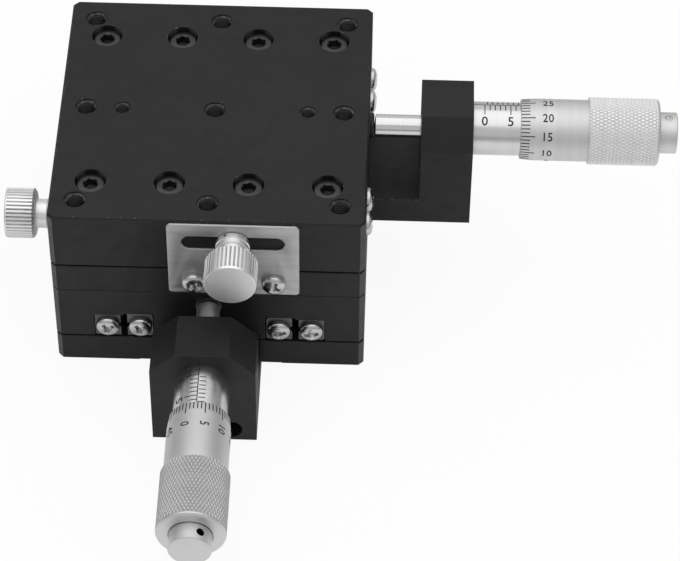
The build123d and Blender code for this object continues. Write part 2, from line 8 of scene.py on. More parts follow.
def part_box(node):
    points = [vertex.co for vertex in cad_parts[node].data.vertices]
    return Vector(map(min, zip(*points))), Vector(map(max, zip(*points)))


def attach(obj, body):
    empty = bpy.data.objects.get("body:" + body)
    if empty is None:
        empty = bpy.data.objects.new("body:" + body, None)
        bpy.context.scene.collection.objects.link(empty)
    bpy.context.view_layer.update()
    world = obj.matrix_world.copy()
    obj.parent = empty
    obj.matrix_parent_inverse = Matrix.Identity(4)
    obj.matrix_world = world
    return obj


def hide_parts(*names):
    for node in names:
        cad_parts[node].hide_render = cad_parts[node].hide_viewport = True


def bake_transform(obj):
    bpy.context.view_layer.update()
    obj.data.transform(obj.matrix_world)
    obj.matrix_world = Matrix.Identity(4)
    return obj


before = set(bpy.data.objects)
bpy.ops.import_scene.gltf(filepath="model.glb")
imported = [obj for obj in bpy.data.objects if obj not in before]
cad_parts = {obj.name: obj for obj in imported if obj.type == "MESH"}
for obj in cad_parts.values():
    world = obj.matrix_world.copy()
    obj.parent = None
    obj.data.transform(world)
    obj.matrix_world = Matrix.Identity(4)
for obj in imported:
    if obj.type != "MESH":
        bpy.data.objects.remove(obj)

# An xy linear stage with two micrometer heads: finishes, small fittings, scales, floor, light and camera.
# Sizes are in millimetres in a stage's own frame, as it is drawn: travel along X, micrometer on +X,
# lock on -Y, underside at z = 0. The lower stage is turned a quarter turn, the upper one stands on it.
MM = 0.001
FLOOR_GAP = 0.05
STAGE_H = 20.0
PLACE = {"x": Matrix.Translation((0, 0, STAGE_H)), "y": Matrix.Rotation(radians(-90), 4, "Z")}
FIXED = {"x": "middle", "y": "base"}
MOVING = {"x": "top", "y": "middle"}
ALONG = {"x": 0, "y": 1}
ALONG_X = Matrix.Rotation(radians(90), 4, "Y")
FRONT = Matrix.Rotation(radians(90), 4, "X")

# Plates and rails
HALF = 30.0
GRID = 25.0
RAIL_END = 29.7
RAIL_MID_Z = 10.0
SCREW_ROWS = {"inner": 13.3, "outer": 20.0}
SCREW_XS = (-22.5, -7.5, 7.5, 22.5)
END_SCREW_YS = {"inner": 13.5, "outer": 19.8}
OUTER_SEAT = 16.2
INNER_SEAT = 3.6
PIN_HOLE_X = 18.0

# Cap screws: diameter, head diameter, head height and width of the key. The socket's edge is a widening
# and a depth. A rounding lists an edge's points by how far in and how far down each is from its corner.
M3 = (3.0, 5.5, 3.0, 2.5)
M4 = (4.0, 7.0, 4.0, 3.0)
M2_5 = (2.5, 4.5, 2.5, 2.0)
RAIL_SCREW_L = 8.0
BRACKET_SCREW_L = 16.0
BASE_SCREW_L = 8.0
BASE_SCREW_SEAT = 2.4
CAP_EDGE = 0.12
CAP_ROUNDING = ((0.0, 0.32), (0.09, 0.12), (0.32, 0.0))
SOCKET_EDGE = (0.06, 0.16)
SOCKET_FLOOR_SHARE = 0.45

# Pan-head screws: diameter, head diameter and head height; turns in degrees
PAN = (2.5, 4.6, 1.5)
PAN_SHANK_L = 3.6
PAN_EDGE = 0.1
PAN_RIM_H = 0.55
PAN_TURN_STEP = 12
END_SCREW_TURN = 12
PLATE_SCREW_TURN = 55
CROSS_R = 1.5
CROSS_W = 0.78
CROSS_CORE = 1.75
CROSS_DEPTH = 1.05
CROSS_TOP = 0.3
CROSS_POINT = 0.12

# Micrometer head: the knurl's step is a length and a height, the groove round the cap a width and a depth
OUTER_X = 50.0
FOOT_Z = 3.5
BRACKET_SCREW_Y = 4.9
BRACKET_SCREW_X = 41.5
HEAD_Z = 16.8
SLEEVE_R = 5.2
ZERO_X = 52.2
SCALE_L = 13
READING = 7.0
THIMBLE_X = ZERO_X + READING
THIMBLE_BORE = 5.25
THIMBLE_EDGE_R = 5.75
THIMBLE_RIM = 0.05
THIMBLE_R = 6.0
BEVEL_L = 2.8
KNURL_X = 72.4
KNURL_R = 6.5
KNURL_DEPTH = 0.13
KNURL_FLAT = 0.56
KNURL_ROUND = 58
KNURL_ROWS = 9
KNURL_EDGE = 0.55
KNURL_STEP = (0.25, 0.02)
GRIP_ROUNDING = ((0.55, 0.0), (0.32, 0.1), (0.12, 0.3), (0.04, KNURL_EDGE))
HUB_X = 76.0
HUB_R = 2.05
THIMBLE_END = 86.0
CAP_STUB_L = 1.5
CAP_STUB_R = 3.2
CAP_R = 4.0
CAP_L = 3.5
CAP_HOLE_R = 0.8
# Colour painted onto each cap's pin hole walls: painted light on X, painted shade on Y.
CAP_HOLE_PAINTED_LIGHT = {"x": 1.0, "y": 0.02}
CAP_GROOVE = (0.18, 0.4)
SPINDLE_ROUGH = {"x": 0.10, "y": 0.40}
SLEEVE_ROUGH = 0.25
THIMBLE_ROUGH = 0.50
CHROME_TONE = 0.64
# Knurl colour per stage with painted light: lighter on X, darker on Y, for how the light falls on each.
KNURL_PAINTED_LIGHT_TONE = {"x": 0.78, "y": 0.54}

# Scales: half ticks run between two distances from the line, a division's line through points from the edge
SCALE_ANGLE = {"x": radians(104.4), "y": radians(85)}
THIMBLE_NUMBER = {"x": 25.2, "y": 2.5}
DIVISIONS = 50
DIVISION_W_SHARE = 0.95
LINE_W = 0.19
LINE_T = 0.012
LINE_SINK = 0.03
WRAP_STEP = 0.3
LONG_TICK = 2.6
SHORT_TICK = 1.6
HALF_TICK = (0.25, 1.5)
SLEEVE_NUMBER_H = 1.85
SLEEVE_NUMBER_Y = 4.0
SHORT_DIVISION = (0.08, 1.0, 1.75)
LONG_DIVISION = (0.08, 1.0, 1.9, 2.75)
THIMBLE_NUMBER_H = 1.75
THIMBLE_NUMBER_X = 5.2

# Lock plate: its width, height and lower edge, and its holes by width, height and corner
LOCK_X = 5.0
LOCK_Z = 14.7
LOCK_PLATE = (25.0, 18.8, 0.7)
LOCK_PLATE_T = 0.5
LOCK_PLATE_CORNER = 0.8
LOCK_PLATE_EDGE = 0.14
LOCK_PLATE_HOLE = (2.76, 2.76, 1.375)
LOCK_SLOT = (19.5, 3.4)
LOCK_SCREW_XS = (-2.65, 12.65)
LOCK_SCREW_Z = 4.0

# Thumb screw. Its shank has a length and a radius, the hole in the collar a radius, a place and a depth.
# The collar's groove lists points along it from its middle with their depth, the knob's back an inset
# and the heights of its grooves and ribs, and the knob's centre is a radius and a drop.
LOCK_GAP = {"x": 0.05, "y": 0.65}
LOCK_SHANK = (6.9, 1.5)
LOCK_EDGE = 0.15
COLLAR_R = 3.25
COLLAR_L = 2.4
NECK_R = 2.9
NECK_L = 2.2
KNOB_R = 5.0
KNOB_L = 6.0
KNOB_RIBS = 40
KNOB_RIB_H = 0.5
KNOB_RIM = 0.45
KNOB_ROUNDING = ((0.02, KNOB_RIM), (0.03, 0.34), (0.14, 0.06), (0.22, 0), (0.28, 0))
KNOB_BACK = (0.3, 0.1, 0.5)
KNOB_CENTRE = (1.2, 0.02)
RIB_SLOPE = 4.0
COLLAR_GROOVE = ((-0.1, 0.0), (0.1, 0.3), (0.3, 0.3), (0.5, 0.0))
COLLAR_HOLE = (0.3, 0.55, 1.2)
COLLAR_HOLE_ANGLE = radians(26)

# Return spring
SPRING_PIN_X = 12.0
SPRING_COIL_R = 1.9
SPRING_COIL_L = 15.0
SPRING_TURNS = 9
SPRING_WIRE_R = 0.3
SPRING_EYE_R = 1.35
EYE_STEPS = 20
COIL_STEPS = 24

# Threads in the top: diameter, pitch and depth
M4_THREAD = (4.0, 0.7, 7.0)
M3_THREAD = (3.0, 0.5, 6.0)
THREAD_TOP = STAGE_H - 0.2

# Floor, surround and lamp. A range gives two inputs and the outputs that they lead to:
# distances from the middle in metres for the floor, parts of a direction for the surround.
FLOOR_SIZE = 3.0
FLOOR_TONE = 0.92
# The floor's reflections get a painted shadow near the middle and painted shade far from it.
FLOOR_PAINTED_SHADOW = (0.03, 0.075, 0.4, 1.0)
FLOOR_FAR_PAINTED_SHADE = (0.13, 0.19, 1.0, 0.35)
SURROUND = 0.7
HORIZON = (0.0, 0.2, 0.25, 0.8)
FRONT_WAY = (0.0, -0.74, 0.67)
FRONT_PATCH = (0.65, 0.97, 1.0, 0.84)
SIDES = (0.45, 0.85, 1.0, 0.55)
LAMP_SPOT = (0, 0, 1.0)
LAMP_SIZE = (1.5, 1.5)
LAMP_POWER = 4.6

# Camera: its place in metres, its own directions and its lens in millimetres
CAMERA_SPOT = (0.033849, -0.423088, 0.457298)
CAMERA_RIGHT = (0.999528, 0.029859, 0.007229)
CAMERA_FORWARD = (-0.014735, 0.672429, -0.740015)
CAMERA_LENS = 162.31
SENSOR_WIDTH = 36.0
CLIP_START = 0.01

# Most values of a noise or wave pattern lie in this range
MIDDLE = (0.3, 0.7)


class Nodes:
    """A node tree, with short calls for the nodes that this scene uses."""

    def __init__(self, tree):
        self.tree = tree

    def node(self, kind, inputs=(), **settings):
        made = self.tree.nodes.new(kind)
        for name, value in settings.items():
            setattr(made, name, value)
        for socket, value in dict(inputs).items():
            self.feed(made.inputs[socket], value)
        return made

    def feed(self, socket, value):
        if isinstance(value, bpy.types.NodeSocket):
            self.tree.links.new(value, socket)
        else:
            socket.default_value = value

    def math(self, operation, a, b=0.0):
        return self.node("ShaderNodeMath", {0: a, 1: b}, operation=operation).outputs[0]

    def vector(self, operation, a, b=(0.0, 0.0, 0.0)):
        """A vector, or the number that a length or a dot product gives."""
        outputs = self.node("ShaderNodeVectorMath", {0: a, 1: b}, operation=operation).outputs
        return outputs["Value" if operation in ("LENGTH", "DOT_PRODUCT") else "Vector"]

    def parts(self, vector):
        """The X, Y and Z of a vector."""
        return self.node("ShaderNodeSeparateXYZ", {0: vector}).outputs

    def coordinates(self, kind):
        return self.node("ShaderNodeTexCoord").outputs[kind]

    def rays(self, kind):
        """1 for rays of that kind and 0 for others."""
        return self.node("ShaderNodeLightPath").outputs[f"Is {kind} Ray"]

    def span(self, value, low, high, out_low, out_high):
        """The value moved from one range to another, held at the ends."""
        inputs = {0: value, 1: low, 2: high, 3: out_low, 4: out_high}
        return self.node("ShaderNodeMapRange", inputs).outputs[0]

    def seen_directly(self, mirrored):
        """1 for what the camera or a clear piece sees, that share for a reflection, 0 for soft light."""
        clear = self.math("MAXIMUM", self.rays("Camera"), self.rays("Transmission"))
        return self.math("MAXIMUM", clear, self.math("MULTIPLY", self.rays("Glossy"), mirrored))


class Graph(Nodes):
    """A material's node tree."""

    def __init__(self, name, **sockets):
        self.material = bpy.data.materials.new(name)
        self.material.use_nodes = True
        super().__init__(self.material.node_tree)
        self.shader = self.tree.nodes["Principled BSDF"]
        for socket, value in sockets.items():
            self.shader.inputs[socket.replace("_", " ")].default_value = value

    def stretched(self, scale=(1, 1, 1), offset=(0, 0, 0)):
        """The object's own coordinates, moved and then scaled along each axis."""
        moved = self.vector("SUBTRACT", self.coordinates("Object"), offset)
        return self.vector("MULTIPLY", moved, scale)

    def noise(self, scale, detail=2.0, stretch=(1, 1, 1)):
        inputs = {"Vector": self.stretched(stretch), "Scale": scale, "Detail": detail}
        return self.node("ShaderNodeTexNoise", inputs).outputs[0]

    def blend(self, share, first, second):
        """A colour between two, each a number for a grey or a triple."""
        mix = self.node("ShaderNodeMix", data_type="RGBA")
        self.feed(mix.inputs[0], share)
        for socket, colour in ((mix.inputs[6], first), (mix.inputs[7], second)):
            self.feed(socket, rgba(colour))
        return mix.outputs[2]

    def colour(self, value):
        self.feed(self.shader.inputs["Base Color"], value)

    def rough(self, value):
        self.feed(self.shader.inputs["Roughness"], value)

    def tones(self, pattern, dark, light):
        """The base colour between two tones, along the middle of a pattern."""
        self.colour(self.blend(self.span(pattern, *MIDDLE, 0, 1), dark, light))

    def gloss(self, pattern, low, high):
        """The roughness between two values, along the middle of a pattern."""
        self.rough(self.span(pattern, *MIDDLE, low, high))

    def own_normal(self):
        """The face's own direction."""
        return self.node("ShaderNodeNewGeometry").outputs["True Normal"]

    def edges(self, radius):
        """The normal rounded over corners within that radius in mm, and how far it turns there."""
        rounded = self.node("ShaderNodeBevel", {"Radius": radius * MM}, samples=4).outputs[0]
        same = self.vector("DOT_PRODUCT", rounded, self.own_normal())
        return rounded, self.math("SUBTRACT", 1.0, same)

    def bump(self, *layers, start=None):
        """Bumps from (height, strength, distance in mm) layers, one over the other."""
        normal = start
        for height, strength, distance in layers:
            inputs = {"Height": height, "Strength": strength, "Distance": distance * MM}
            if normal:
                inputs["Normal"] = normal
            normal = self.node("ShaderNodeBump", inputs).outputs[0]
        self.feed(self.shader.inputs["Normal"], normal)


def rgba(colour):
    """A colour with its alpha, from a grey or a triple; a socket stays as it is."""
    if isinstance(colour, bpy.types.NodeSocket):
        return colour
    if isinstance(colour, (int, float)):
        colour = (colour, colour, colour)
    return (*colour, 1.0)


def by_axis(axis, along, across):
    """A triple with one value along an axis and another across it."""
    return [along if i == axis else across for i in range(3)]


def black_anodised(node, wear):
    """Blasted black anodised aluminium, with a painted highlight on upright corner faces, edges lightened
    partly by wear and partly by a painted highlight, and bare specks.
    """
    graph = Graph(f"black_anodised_{node}", Metallic=0.0, Specular_IOR_Level=0.28)
    cloud = graph.noise(60.0, 3.0)
    grain = graph.noise(5200.0, 2.0)
    rounded, turn = graph.edges(0.2)
    rim = graph.span(turn, 0.03, 0.2, 0.0, 1.0)
    chips = graph.span(graph.noise(1300.0, 1.0), 0.70 - 0.03 * wear, 0.72 - 0.03 * wear, 0.0, 1.0)
    east, north, _ = graph.parts(graph.own_normal())
    # Painted highlight: upright corner faces, turned halfway between X and Y, are made lighter as if they
    # caught the light.
    corner_face_painted_highlight = graph.math("ABSOLUTE", graph.math("MULTIPLY", east, north))
    base = graph.blend(graph.span(cloud, 0.35, 0.65, 0.0, 1.0), 0.0075, 0.0105)
    base = graph.blend(graph.span(corner_face_painted_highlight, 0.35, 0.45, 0.0, 1.0), base, 0.05)
    # Edges made lighter, partly bare metal from wear and partly a painted highlight along the rims.
    rubbed = graph.math("MULTIPLY", rim, graph.span(graph.noise(240.0, 2.0), 0.42, 0.62, 0.15, 1.0))
    edge_wear_and_highlight = graph.blend(rubbed, base, 0.07)
    graph.colour(graph.blend(graph.math("MULTIPLY", rim, chips), edge_wear_and_highlight, 0.55))
    graph.gloss(graph.noise(380.0, 3.0), 0.44, 0.56)
    graph.bump((grain, 0.35, 0.02), (cloud, 0.08, 0.05), start=rounded)
    return graph.material


def ground_steel(node, axis):
    """Ground rail steel with fine grinding lines along an axis, plain cut ends, and a painted highlight
    along its edges.
    """
    graph = Graph(f"ground_steel_{node}", Metallic=1.0)
    lines = graph.noise(3000.0, 3.0, by_axis(axis, 0.05, 1.0))
    along = graph.parts(graph.stretched())[axis]
    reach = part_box(node)[1][axis] - 0.05 * MM
    end = graph.math("GREATER_THAN", graph.math("ABSOLUTE", along), reach)
    rounded, turn = graph.edges(0.15)
    ground = graph.blend(graph.span(lines, *MIDDLE, 0, 1), 0.22, 0.34)
    cut = graph.blend(graph.span(graph.noise(900.0, 3.0), *MIDDLE, 0, 1), 0.10, 0.16)
    plain = graph.blend(end, ground, cut)
    # Painted highlight: every edge is lightened as if it caught the light.
    graph.colour(graph.blend(graph.span(turn, 0.03, 0.2, 0.0, 0.6), plain, 0.5))
    graph.gloss(lines, 0.34, 0.46)
    graph.bump((lines, 0.2, 0.01), start=rounded)
    return graph.material


def black_oxide():
    """Black oxide steel, a little shinier where it is rubbed."""
    graph = Graph("black_oxide", Metallic=0.0, Specular_IOR_Level=0.6)
    patch = graph.noise(700.0, 4.0)
    graph.colour(graph.blend(graph.span(patch, 0.4, 0.7, 0, 1), 0.006, 0.016))
    graph.gloss(patch, 0.34, 0.26)
    graph.bump((graph.noise(4000.0, 2.0), 0.2, 0.01))
    return graph.material


def chrome_graph(name, axis, dull, tone=CHROME_TONE):
    """Satin chrome of that roughness and tone, with fine turning lines round an axis, and its colour."""
    graph = Graph(name, Metallic=1.0)
    stretch = by_axis(axis, 1.0, 0.03)
    lines = graph.noise(5200.0, 2.0, stretch)
    bands = graph.noise(700.0, 2.0, stretch)
    cloud = graph.noise(120.0, 3.0)
    graph.rough(graph.span(cloud, 0.35, 0.65, dull, dull + 0.05))
    graph.bump((lines, 0.1, 0.01), (cloud, 0.03, 0.03))
    return graph, graph.blend(graph.span(bands, *MIDDLE, 0, 1), tone - 0.02, tone + 0.02)


def satin_chrome(name, axis, dull, tone=CHROME_TONE):
    """The satin chrome of a micrometer head's sleeve, thimble or knurl."""
    graph, colour = chrome_graph(f"satin_chrome_{name}", axis, dull, tone)
    graph.colour(colour)
    return graph.material


def cap_chrome(name, axis):
    """The same chrome on a thimble's cap, with painted light inside the X cap's pin hole and painted shade
    inside the Y cap's.
    """
    graph, colour = chrome_graph(f"cap_chrome_{name}", axis, THIMBLE_ROUGH)
    axis_point = PLACE[name] @ Vector((THIMBLE_END + CAP_L / 2, 0, HEAD_Z)) * MM
    away = graph.stretched(offset=axis_point)
    radius = graph.vector("LENGTH", graph.vector("MULTIPLY", away, by_axis(axis, 0.0, 1.0)))
    along = graph.math("ABSOLUTE", graph.parts(away)[axis])
    # Mask of the pin hole's walls, which take painted light on the X cap and painted shade on the Y cap.
    inside = graph.span(radius, (CAP_R - 0.3) * MM, (CAP_R - 0.1) * MM, 1.0, 0.0)
    near = graph.math("LESS_THAN", along, (CAP_HOLE_R + 0.05) * MM)
    graph.colour(graph.blend(graph.math("MULTIPLY", inside, near), colour, CAP_HOLE_PAINTED_LIGHT[name]))
    return graph.material


def polished_steel(name, axis):
    """Ground steel with faint lines round its axis, duller on the lower stage."""
    graph = Graph(f"polished_steel_{name}", Metallic=1.0)
    lines = graph.noise(2600.0, 2.0, by_axis(axis, 1.0, 0.04))
    graph.tones(lines, 0.60, 0.66)
    dull = SPINDLE_ROUGH[name]
    graph.gloss(lines, dull, dull + 0.05)
    graph.bump((lines, 0.02, 0.01))
    return graph.material


def brushed_plate(name, axis):
    """Stainless sheet brushed along an axis."""
    graph = Graph(f"brushed_plate_{name}", Metallic=1.0)
    stretch = by_axis(axis, 0.02, 1.0)
    lines = graph.noise(6000.0, 3.0, stretch)
    streaks = graph.noise(900.0, 3.0, stretch)
    graph.tones(streaks, 0.48, 0.55)
    graph.gloss(lines, 0.48, 0.60)
    graph.bump((lines, 0.2, 0.01), (streaks, 0.05, 0.02))
    return graph.material


def bright_nickel():
    """Bright nickel plating over steel."""
    graph = Graph("bright_nickel", Metallic=1.0)
    cloud = graph.noise(900.0, 3.0)
    graph.tones(cloud, 0.50, 0.60)
    graph.gloss(cloud, 0.22, 0.30)
    graph.bump((graph.noise(2200.0, 2.0), 0.12, 0.02))
    return graph.material


def turned_nickel(name, centre, direction):
    """Nickel plating over a turned face, with rings round a centre in metres about one axis."""
    graph = Graph(f"turned_nickel_{name}", Metallic=1.0)
    inputs = {"Vector": graph.stretched(offset=centre), "Scale": 900.0, "Distortion": 0.4, "Detail": 2.0}
    wave = graph.node("ShaderNodeTexWave", inputs, wave_type="RINGS", rings_direction=direction)
    rings = wave.outputs[1]
    fine = graph.noise(1500.0, 3.0)
    graph.colour(graph.blend(rings, 0.76, 0.87))
    graph.gloss(fine, 0.36, 0.44)
    graph.bump((rings, 0.16, 0.01), (fine, 0.05, 0.01))
    return graph.material


def recess_nickel():
    """Nickel plating darkened with painted shade, for the walls inside a screw's recess and in small holes.
    """
    graph = Graph("recess_nickel", Metallic=1.0)
    patch = graph.noise(1600.0, 3.0)
    graph.tones(patch, 0.05, 0.10)
    graph.gloss(patch, 0.28, 0.38)
    graph.bump((patch, 0.15, 0.01))
    return graph.material


def brass():
    """Rolled brass strip."""
    graph = Graph("brass", Metallic=1.0)
    cloud = graph.noise(500.0, 3.0)
    graph.tones(cloud, (0.50, 0.34, 0.11), (0.66, 0.47, 0.18))
    graph.gloss(cloud, 0.24, 0.34)
    graph.bump((graph.noise(3000.0, 2.0, (0.05, 1, 1)), 0.15, 0.01))
    return graph.material


def spring_wire():
    """Drawn spring wire."""
    graph = Graph("spring_wire", Metallic=1.0)
    draw = graph.noise(2500.0, 2.0)
    graph.tones(draw, 0.34, 0.46)
    graph.gloss(draw, 0.22, 0.32)
    graph.bump((draw, 0.1, 0.01))
    return graph.material


def scale_paint():
    """The dark filling of the engraved lines and numbers."""
    graph = Graph("scale_paint", Metallic=0.0, Specular_IOR_Level=0.2)
    patch = graph.noise(1800.0, 3.0)
    graph.colour(graph.blend(graph.span(patch, 0.35, 0.7, 0, 1), 0.012, 0.045))
    graph.gloss(patch, 0.5, 0.7)
    graph.bump((patch, 0.1, 0.005))
    return graph.material


def thread_black():
    """Anodised threads, a little smoother than the blasted faces and lighter at the first turns below the
    top.
    """
    graph = Graph("thread_black", Metallic=0.0, Specular_IOR_Level=0.3)
    patch = graph.noise(1200.0, 2.0)
    height = graph.parts(graph.stretched())[2]
    first = graph.span(height, (2 * STAGE_H - 1.6) * MM, (2 * STAGE_H - 0.3) * MM, 0.0, 1.0)
    lighter_first_turns = graph.math("MULTIPLY", first, graph.span(patch, 0.4, 0.6, 0.2, 1.0))
    graph.colour(graph.blend(lighter_first_turns, 0.007, 0.10))
    graph.gloss(patch, 0.32, 0.44)
    graph.bump((patch, 0.1, 0.01))
    return graph.material


def circle(radius, height, count, start=0.0):
    """A ring of points round Z; the radius may depend on the angle."""
    points = []
    for i in range(count):
        angle = start + 2 * pi * i / count
        r = radius(angle) if callable(radius) else radius
        points.append((r * cos(angle), r * sin(angle), height))
    return points


def skin(bm, rings, place):
    """Faces between neighbouring rings, where a ring of one point is a pole."""
    loops = [[bm.verts.new(place @ Vector(point)) for point in ring] for ring in rings]
    for low, high in zip(loops, loops[1:]):
        count = max(len(low), len(high))
        for i in range(count):
            j = (i + 1) % count
            corners = (low[i % len(low)], low[j % len(low)], high[j % len(high)], high[i % len(high)])
            corners = list(dict.fromkeys(corners))
            if len(corners) > 2:
                bm.faces.new(corners)
    return loops


def lathe(bm, profile, place, count):
    """A turned shape from (height, radius) points round Z, where a radius of 0 is a pole."""
    rings = [circle(r, z, count) if r > 0 else [(0, 0, z)] for z, r in profile]
    skin(bm, rings, place)


def as_mesh(name, bm):
    mesh = bpy.data.meshes.new(name)
    bm.to_mesh(mesh)
    bm.free()
    return mesh


def linked(name, data):
    """A new object with that data, in the scene."""
    made = bpy.data.objects.new(name, data)
    bpy.context.scene.collection.objects.link(made)
    return made


def final_mesh(shown):
    """A copy of the mesh that an object shows."""
    depsgraph = bpy.context.evaluated_depsgraph_get()
    return bpy.data.meshes.new_from_object(shown.evaluated_get(depsgraph))


def mesh_of_curve(curve):
    """The mesh that a curve or a text fills."""
    drawn = linked(curve.name, curve)
    shape = final_mesh(drawn)
    bpy.data.objects.remove(drawn)
    return shape


def piece(name, bm, body, materials, replaced=(), sharp=32.0):
    """A mesh in millimetres made into an object that rides on a body, with one material or more."""
    bmesh.ops.recalc_face_normals(bm, faces=bm.faces)
    mesh = as_mesh(name, bm)
    mesh.transform(Matrix.Scale(MM, 4))
    mesh.shade_smooth()
    mesh.set_sharp_from_angle(angle=radians(sharp))
    for material in materials if isinstance(materials, tuple) else (materials,):
        mesh.materials.append(material)
    made = linked(name, mesh)
    if body:
        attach(made, body)
    if replaced:
        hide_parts(*replaced)
    return made


def hexagon(key):
    """The radius of a hexagon of that width across flats, by angle."""
    return lambda angle: key / 2 / cos((angle + pi / 6) % (pi / 3) - pi / 6)


def cap_screw(bm, size, length, place):
    """A cap screw with its head above z = 0, a hexagonal socket and a drilled floor in it."""
    d, head_d, head_h, key = size
    r = head_d / 2
    wider, lower = SOCKET_EDGE
    floor = head_h * SOCKET_FLOOR_SHARE
    outline = [(-length, d / 2), (0, d / 2), (0, r - CAP_EDGE), (CAP_EDGE, r)]
    outline += [(head_h - down, r - inwards) for inwards, down in CAP_ROUNDING]
    outline += [(head_h, key / sqrt(3) + wider), (head_h - lower, hexagon(key)), (floor, hexagon(key))]
    outline.append((floor, key * 0.42))
    rings = [circle(radius, z, 48) for z, radius in outline]
    skin(bm, [[(0, 0, -length)], *rings, [(0, 0, floor - key * 0.2)]], place)


def cap_screws(name, size, length, places, body):
    """All the cap screws of one CAD node."""
    bm = bmesh.new()
    for place in places:
        cap_screw(bm, size, length, place)
    piece(f"{name}_heads", bm, body, BLACK_OXIDE, [name])


def cross_cutter():
    """The tapered cross of a screwdriver's tip, pointing down from a head's top."""
    bm = bmesh.new()
    rings = []
    for z, reach, width in ((CROSS_TOP, 1.08, 1.08), (-0.55, 0.8, 0.9), (-CROSS_DEPTH, 0.28, 0.5)):
        a = CROSS_W / 2 * width
        b = CROSS_R * reach
        c = a * CROSS_CORE
        outline = []
        for quarter in range(4):
            turn = Matrix.Rotation(quarter * pi / 2, 3, "Z")
            for x, y in ((b, -a), (b, a), (c, a), (a, c)):
                outline.append(tuple(turn @ Vector((x, y, z))))
        rings.append(outline)
    rings = [[(0, 0, CROSS_TOP)], *rings, [(0, 0, -CROSS_DEPTH - CROSS_POINT)]]
    skin(bm, rings, Matrix.Identity(4))
    return bm


def loose(name, bm, part):
    """A mesh object on no body, all its faces in one of two material slots."""
    bmesh.ops.recalc_face_normals(bm, faces=bm.faces)
    for face in bm.faces:
        face.material_index = part
    mesh = as_mesh(name, bm)
    for _ in range(2):
        mesh.materials.append(None)
    return linked(name, mesh)


def carved(name, bm, cutter_bm):
    """The first mesh with the second cut out of it; the cut's walls take the second material."""
    body = loose(name, bm, 0)
    cutter = loose(f"{name}_cutter", cutter_bm, 1)
    cut = body.modifiers.new("cut", "BOOLEAN")
    cut.object = cutter
    cut.solver = "EXACT"
    shape = final_mesh(body)
    shape.materials.clear()
    for done in (body, cutter):
        bpy.data.objects.remove(done)
    return shape


def pan_head():
    """A domed head with a crossed recess and a plain shank, as a mesh in millimetres."""
    d, head_d, head_h = PAN
    r = head_d / 2
    profile = [(-PAN_SHANK_L, 0), (-PAN_SHANK_L, d / 2), (0, d / 2)]
    profile += [(0, r - PAN_EDGE), (PAN_EDGE, r), (PAN_RIM_H, r)]
    rise = head_h - PAN_RIM_H
    for share in (0.14, 0.3, 0.48, 0.68, 0.86, 1.0):
        angle = share * pi / 2
        profile.append((PAN_RIM_H + rise * sin(angle) ** 0.9, r * cos(angle) ** 0.75 if share < 1 else 0))
    bm = bmesh.new()
    lathe(bm, profile, Matrix.Identity(4), 48)
    cutter = cross_cutter()
    bmesh.ops.translate(cutter, verts=cutter.verts, vec=(0, 0, head_h))
    return carved("pan_head", bm, cutter)


def pan_screws(name, places, body, first):
    """All the pan-head screws of one CAD node, each turned a step further than the one before."""
    bm = bmesh.new()
    for i, place in enumerate(places):
        copy = PAN_HEAD.copy()
        copy.transform(place @ Matrix.Rotation(radians(PAN_TURN_STEP * i + first), 4, "Z"))
        bm.from_mesh(copy)
        bpy.data.meshes.remove(copy)
    # The cross recess's walls take the nickel darkened with painted shade.
    finishes = (BRIGHT_NICKEL, PAINTED_SHADE_NICKEL)
    piece(f"{name}_heads", bm, body, finishes, [name], sharp=40.0)


def rib(angle):
    """The radius of the knob's ribbed side by angle: broad ribs with narrow grooves between them."""
    phase = (angle * KNOB_RIBS / (2 * pi)) % 1.0
    height = min(1.0, RIB_SLOPE * min(phase, 1.0 - phase))
    return KNOB_R - KNOB_RIB_H * (1 - height)


def knob_rings():
    """The thumb screw's rings of points from its thread to its face, along Z."""
    count = KNOB_RIBS * 8
    back = COLLAR_L + NECK_L
    face = back + KNOB_L
    mid = COLLAR_L / 2
    root = KNOB_R - KNOB_RIB_H
    shank_l, shank_r = LOCK_SHANK
    inset, root_rise, rib_rise = KNOB_BACK
    centre_r, centre_drop = KNOB_CENTRE
    outline = [(-shank_l, shank_r), (0, shank_r), (0, COLLAR_R - LOCK_EDGE), (LOCK_EDGE, COLLAR_R)]
    outline += [(mid + step, COLLAR_R - depth) for step, depth in COLLAR_GROOVE]
    outline += [(COLLAR_L - LOCK_EDGE, COLLAR_R), (COLLAR_L, COLLAR_R - LOCK_EDGE), (COLLAR_L, NECK_R)]
    outline += [(back, NECK_R), (back, root - inset)]
    outline += [(back + root_rise, lambda angle: min(rib(angle), root)), (back + rib_rise, rib)]
    outline.append((face - KNOB_RIM, rib))
    outline += [(face - down, KNOB_R - inwards) for inwards, down in KNOB_ROUNDING]
    outline.append((face - centre_drop, centre_r))
    rings = [circle(r, z, count) for z, r in outline]
    return [[(0, 0, -shank_l)], *rings, [(0, 0, face - centre_drop)]]


def collar_hole():
    """The cutter of the small hole in the thumb screw's collar, a little off the top."""
    r, z, depth = COLLAR_HOLE
    bm = bmesh.new()
    spot = Matrix.Rotation(COLLAR_HOLE_ANGLE, 4, "Z") @ Matrix.Translation((0, COLLAR_R - depth, z))
    upright = spot @ Matrix.Rotation(radians(-90), 4, "X")
    lathe(bm, [(0, 0), (0, r), (depth + 0.5, r), (depth + 0.5, 0)], upright, 20)
    return bm


